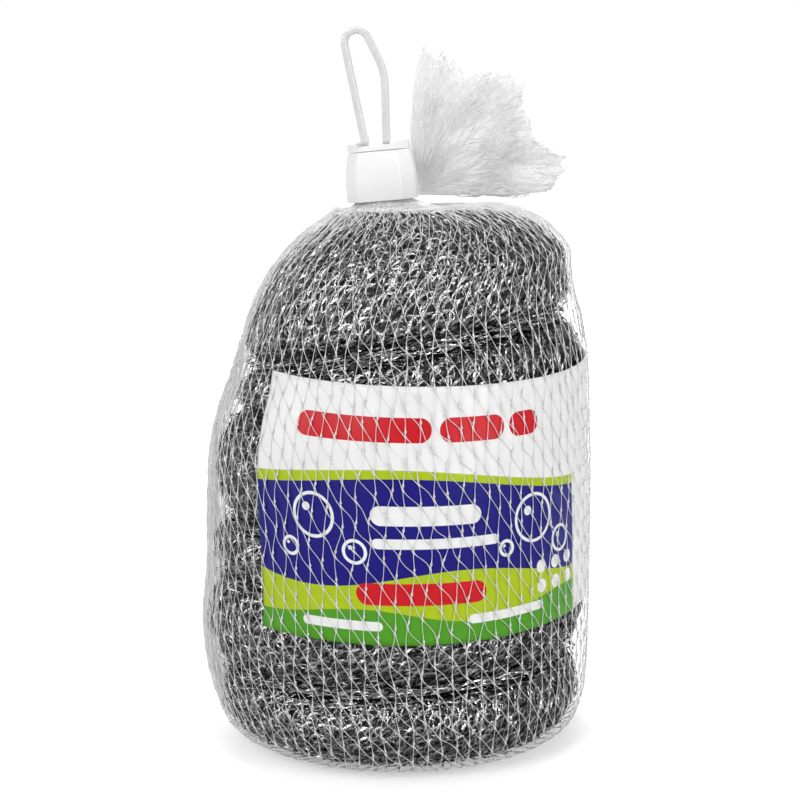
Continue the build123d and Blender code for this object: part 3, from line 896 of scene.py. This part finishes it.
TAIL_FOLDS = (
    # layer, low and high share, columns, seed, slant, half thickness, shortening
    (-2.0, 0.0, 0.45, 9, 21, 0.13, 0.105, 0.02),
    (-1.4, 0.33, 1.0, 20, 22, 0.12, 0.08, 0.1),
    (-0.8, 0.2, 0.8, 14, 23, 0.14, 0.085, 0.08),
    (-0.2, 0.4, 1.0, 20, 24, 0.14, 0.08, 0.12),
    (0.4, 0.02, 0.9, 18, 25, 0.12, 0.07, 0.06),
    (1.0, 0.4, 1.0, 20, 26, 0.16, 0.07, 0.15),
    (1.6, 0.3, 0.95, 18, 27, 0.12, 0.07, 0.12),
)
# Layer, low and high share, and seed
TAIL_HAZES = ((0.0, 0.0, 1.0, 31), (1.2, 0.1, 1.0, 32), (0.7, 0.45, 1.0, 33))


def tail_haze(layer, low, high, seed):
    """One see-through fold of the tail, 0.08 mm thick, out to a little short of the ragged edge."""
    share, out = np.linspace(0, 1, 130)[:, None], np.linspace(0, 1, 60)[None, :]
    ragged = 0.97 + 0.025 * ripple(seed + 9, share * 20.0, 0.0, 6, (2, 9), (5, 9))
    front = tail_point(high + (low - high) * share, 0.03 + (ragged - 0.03) * out, layer, seed)
    return sheet_skin(front, front + np.array((0.0, 0.08, 0.0)))


tail = new_piece("tail_folds", *joined(tail_layer(*fold) for fold in TAIL_FOLDS), tail_strand)
tail_film = new_piece(
    "tail_fine_mesh", *joined(tail_haze(*fold) for fold in TAIL_HAZES), fine_mesh
)
for piece in (tail, tail_film):
    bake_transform(piece)
    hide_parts("net_tail")

# ---- printed sleeve

SLEEVE_MIDDLE = 0.517 * PACK_HEIGHT
SLEEVE_HEIGHT = 55.0
SLEEVE_TILT = np.radians(-0.9)
SLEEVE_LEAN = np.radians(-4.4)
SLEEVE_START = np.radians(-43.7)
SLEEVE_START_TURN = np.radians(-7.5)
SLEEVE_END = np.radians(169.0)


def sleeve_grid(lift, columns, levels):
    """Sleeve's points: at each angle the height runs between two planes, whose height is
    middle + x tan(tilt) - y tan(lean), found by putting x and y back in four times."""
    share = np.linspace(0, 1, columns)[:, None]
    up = np.linspace(-0.5, 0.5, levels)[None, :]
    start = SLEEVE_START + SLEEVE_START_TURN * up
    angle = start + (SLEEVE_END - start) * share
    fine = np.linspace(4, len(NET_ROWS) - 6, 900)
    heights = curve_through(NET_ROWS, fine)[:, 0]
    height = SLEEVE_MIDDLE + SLEEVE_HEIGHT * up + 0 * share
    target = height
    for _ in range(5):
        place = np.interp(target, heights, fine)
        points = round_surface(NET_ROWS, place, angle, lift)
        x, y, z = np.moveaxis(points, -1, 0)
        target = target + height + x * np.tan(SLEEVE_TILT) - y * np.tan(SLEEVE_LEAN) - z
    wave = 0.1 * ripple(90, angle, target, 6, (2, 9), (30, 70))
    return round_surface(NET_ROWS, place, angle, lift + wave)


def sleeve_map(piece, run, columns, levels):
    """UV in millimetres over 100: length round the sleeve and height up it, 200 mm lower inside."""
    u = np.repeat(run, levels)
    v = np.tile(np.linspace(0, SLEEVE_HEIGHT, levels), columns)
    flat = np.concatenate((np.stack((u, v), -1), np.stack((u, v - 200), -1))) / 100
    mesh = piece.data
    corners = np.zeros(len(mesh.loops), np.int32)
    mesh.loops.foreach_get("vertex_index", corners)
    layer = mesh.uv_layers.new(name="sleeve_map")
    layer.data.foreach_set("uv", flat[corners].astype(np.float32).ravel())


class Drawing:
    """Flat shapes drawn with Math nodes on the sleeve's own map, in millimetres."""

    def __init__(self, tree, place):
        self.tree = tree
        parts = feed(node(tree, "ShaderNodeSeparateXYZ"), Vector=place)
        self.x = self.math("MULTIPLY", parts.outputs["X"], 100.0)
        self.y = self.math("MULTIPLY", parts.outputs["Y"], 100.0)

    def math(self, operation, *values):
        """One Math node over values or sockets."""
        return math_of(self.tree, operation, *values)

    def below(self, value, limit, soft=0.08):
        """1 where the value is under the limit, with an edge a soft distance wide."""
        made = self.math("MULTIPLY_ADD", self.math("SUBTRACT", limit, value), 1.0 / soft, 0.5)
        self.tree.nodes[-1].use_clamp = True
        return made

    def away(self, x, y, reach=0.0):
        """Distance from a point, or from a level line of half length reach about it."""
        across = self.math("ABSOLUTE", self.math("SUBTRACT", self.x, x))
        if reach:
            across = self.math("MAXIMUM", self.math("SUBTRACT", across, reach), 0.0)
        up = self.math("SUBTRACT", self.y, y)
        squares = self.math("MULTIPLY_ADD", across, across, self.math("MULTIPLY", up, up))
        return self.math("SQRT", squares)

    def pill(self, x, y, reach, radius):
        """A level bar with round ends, or a disc where its reach is 0."""
        return self.below(self.away(x, y, reach), radius)

    def ring(self, x, y, radius, line):
        """A circle's line, as wide as twice the line to each side."""
        gap = self.math("SUBTRACT", self.away(x, y), radius)
        return self.below(self.math("ABSOLUTE", gap), line)

    def under_wave(self, base, height, pitch, shift, slope=0.0):
        """1 under the line base + slope x + height sin(2 pi (x - shift) / pitch)."""
        turns = self.math("MULTIPLY", self.math("SUBTRACT", self.x, shift), TURN / pitch)
        sloped = self.math("MULTIPLY_ADD", self.x, slope, base)
        line = self.math("MULTIPLY_ADD", self.math("SINE", turns), height, sloped)
        return self.below(self.y, line)

    def paint(self, under, mask, colour):
        """The colour laid over another where the mask is 1."""
        mix = feed(node(self.tree, "ShaderNodeMix", data_type="RGBA"), Factor=mask)
        for socket, value in zip(mix.inputs[6:8], (under, colour)):
            if isinstance(value, tuple):
                socket.default_value = (*value, 1.0)
            else:
                self.tree.links.new(value, socket)
        return mix.outputs[2]


WHITE = (0.82, 0.82, 0.82)
LIME = (0.40, 0.52, 0.006)
DEEP_LIME = (0.07, 0.30, 0.012)
INDIGO = (0.003, 0.001, 0.17)
RED = (0.56, 0.004, 0.012)
GREY = (0.45, 0.46, 0.48)
BARE_FILM = (0.74, 0.74, 0.73)

# Waves across the front: height at the left, swell, pitch, shift, slope and the colour below
WAVES = (
    (35.6, 2.8, 110.0, 8.0, -0.02, LIME),
    (33.6, 3.0, 110.0, 9.5, -0.02, INDIGO),
    (14.5, 2.4, 74.0, 30.0, -0.02, LIME),
    (6.0, 1.5, 52.0, 12.0, 0.0, DEEP_LIME),
)
# Bubbles: place round and up, and radius
BUBBLES = (
    (15, 27, 4.6), (24, 20, 2.4), (9, 19.5, 1.8), (66, 25, 5.2), (75, 18.5, 2.8), (58, 19.5, 1.6)
)
# Bars: place round and up, half length, radius and colour
BARS = (
    (26, 46, 13.0, 2.6, RED),
    (51, 46, 5.0, 2.6, RED),
    (64, 46, 1.5, 2.6, RED),
    (40, 28, 10.0, 2.1, WHITE),
    (42, 22, 13.0, 1.1, WHITE),
    (38, 11, 12.0, 2.4, RED),
    (20, 4, 8.0, 1.0, WHITE),
    (58, 5, 9.0, 1.0, WHITE),
)
DOTS = tuple((x, y, 0.0, 1.5, WHITE) for x in (68.0, 73.0, 78.0) for y in (9.0, 13.5))
# Half lengths of the ruled lines on the back panel, from its top
RULED_LINES = (20, 26, 24, 27, 18, 0, 25, 26, 15)


def sleeve_material(length):
    """Printed film: white head with red bars, an indigo field between waves with plain bubbles,
    a lime foot, and a white back panel with thin ruled lines."""
    material, tree, shader = new_material("printed_film", IOR=1.5, Specular_IOR_Level=0.15)
    draw = Drawing(tree, node(tree, "ShaderNodeUVMap", uv_map="sleeve_map").outputs["UV"])
    front = length * 0.49
    colour = WHITE
    for *wave, paint in WAVES:
        colour = draw.paint(colour, draw.under_wave(*wave), paint)
    for x, y, radius in BUBBLES:
        colour = draw.paint(colour, draw.ring(x, y, radius, 0.35), WHITE)
        glint = draw.pill(x - radius * 0.35, y + radius * 0.35, 0.0, radius * 0.2)
        colour = draw.paint(colour, glint, WHITE)
    for *bar, paint in BARS + DOTS:
        colour = draw.paint(colour, draw.pill(*bar), paint)
    colour = draw.paint(colour, draw.below(draw.math("SUBTRACT", front, draw.x), 0.0), WHITE)
    for row, reach in enumerate(RULED_LINES):
        if reach:
            line = draw.pill(front + 8 + reach, 44.0 - 4.2 * row, float(reach), 0.22)
            colour = draw.paint(colour, line, GREY)
    colour = draw.paint(colour, draw.below(draw.y, -50.0), BARE_FILM)
    place = place_of(tree)
    wear = noise_of(tree, place, 220.0, 4.0)
    worn = node(tree, "ShaderNodeMix", data_type="RGBA", blend_type="MULTIPLY")
    feed(worn, Factor=1.0)
    tree.links.new(colour, worn.inputs[6])
    tree.links.new(grey_ramp(tree, wear, 0.95, 1.0), worn.inputs[7])
    feed(shader, Base_Color=worn.outputs[2], Roughness=range_of(tree, wear, 0.32, 0.46, 0.3, 0.7))
    bump_of(tree, shader, noise_of(tree, place, 60.0, 2.0), 0.0003)
    return material


SLEEVE_COLUMNS, SLEEVE_LEVELS = 213, 41
sleeve_outer, sleeve_inner = (
    sleeve_grid(lift, SLEEVE_COLUMNS, SLEEVE_LEVELS) for lift in (-0.7, -0.95)
)
sleeve_run = running_length(sleeve_outer[:, SLEEVE_LEVELS // 2])
sleeve_length = float(sleeve_run[-1])
printed_film = sleeve_material(sleeve_length)
sleeve = new_piece("film_sleeve", *sheet_skin(sleeve_outer, sleeve_inner), printed_film)
sleeve_map(sleeve, sleeve_run, SLEEVE_COLUMNS, SLEEVE_LEVELS)
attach(sleeve, "pack")
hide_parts("print_sleeve")

# ---- clip, loop and weld


def finish_node(name, material):
    """A CAD node that keeps its own shape gets a finished material in every slot."""
    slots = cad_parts[name].data.materials
    slots.clear()
    slots.append(material)


finish_node("clip_housing", clip_white)
finish_node("clip_plug", clip_white)
finish_node("hang_loop", loop_white)
finish_node("base_weld", net_strand)

# ---- studio


def floor_material():
    """Pale studio floor: camera, mirror and glass rays get extra light, more the further out, so
    that it reads white and keeps its shadow near the pack."""
    material, tree, shader = new_material("studio_floor", Roughness=0.9, Specular_IOR_Level=0.1)
    place = place_of(tree)
    distance = feed(node(tree, "ShaderNodeVectorMath", operation="LENGTH"), Vector=place)
    extra = range_of(tree, distance.outputs["Value"], 0.4, 0.75, 0.1, 0.5)
    feed(
        shader,
        Base_Color=grey_ramp(tree, noise_of(tree, place, 8.0), 0.88, 0.9),
        Emission_Color=(1.0, 1.0, 1.0, 1.0),
        Emission_Strength=math_of(tree, "MULTIPLY", background_rays(tree), extra),
    )
    return material


bpy.ops.mesh.primitive_plane_add(size=24.0, location=(0, 0, -0.0002))
floor = bpy.context.object
floor.name = "studio_floor"
floor.data.materials.append(floor_material())

# The world's light on the object, and the level at which the background is seen, which is white
WORLD_LIGHT, WORLD_SEEN = 0.45, 1.0
world = bpy.data.worlds.new("studio")
bpy.context.scene.world = world
world.use_nodes = True
sky = world.node_tree
level = range_of(sky, background_rays(sky), WORLD_LIGHT, WORLD_SEEN)
feed(sky.nodes["Background"], Color=(1.0, 1.0, 1.0, 1.0), Strength=level)

LAMP_AIM = Vector((0.0, 0.0, 0.08))


def lamp(name, place, size, watts, glints_only=False):
    """A square soft light that points at the middle of the pack; one that only makes glints lights
    no dull surface."""
    data = bpy.data.lights.new(name, "AREA")
    data.size, data.energy = size, watts
    made = bpy.data.objects.new(name, data)
    bpy.context.scene.collection.objects.link(made)
    made.location = place
    made.rotation_euler = (LAMP_AIM - Vector(place)).to_track_quat("-Z", "Y").to_euler()
    made.visible_diffuse = not glints_only
    made.visible_transmission = not glints_only


lamp("key_left", (-0.55, -0.75, 0.75), 0.35, 4.6)
lamp("fill_right", (0.75, -0.6, 0.45), 0.35, 3.0)
lamp("top", (0.05, 0.15, 0.95), 0.4, 3.0)
lamp("back", (-0.3, 0.8, 0.5), 0.4, 2.0)
lamp("glints_left", (-0.45, -0.8, 0.55), 0.36, 8.0, glints_only=True)
lamp("glints_right", (0.65, -0.7, 0.35), 0.36, 6.0, glints_only=True)
lamp("glints_side", (-0.9, -0.25, 0.35), 0.4, 6.0, glints_only=True)
lamp("glints_high", (0.1, -0.6, 0.9), 0.3, 5.0, glints_only=True)

# The camera looks level down on this point from this distance and angle, as in the photograph
VIEW_MIDDLE, VIEW_DISTANCE, VIEW_ANGLE = (0.00047, 0.0, 0.0785), 0.4, np.radians(9.0)
camera_data = bpy.data.cameras.new("camera")
camera_data.lens = 76.5
camera_data.sensor_width = 36.0
camera_data.clip_start = 0.01
camera = bpy.data.objects.new("camera", camera_data)
bpy.context.scene.collection.objects.link(camera)
back, up = VIEW_DISTANCE * np.cos(VIEW_ANGLE), VIEW_DISTANCE * np.sin(VIEW_ANGLE)
camera.location = (VIEW_MIDDLE[0], VIEW_MIDDLE[1] - back, VIEW_MIDDLE[2] + up)
camera.rotation_euler = (np.pi / 2 - VIEW_ANGLE, 0.0, 0.0)
bpy.context.scene.camera = camera
bpy.context.scene.view_settings.view_transform = "Standard"
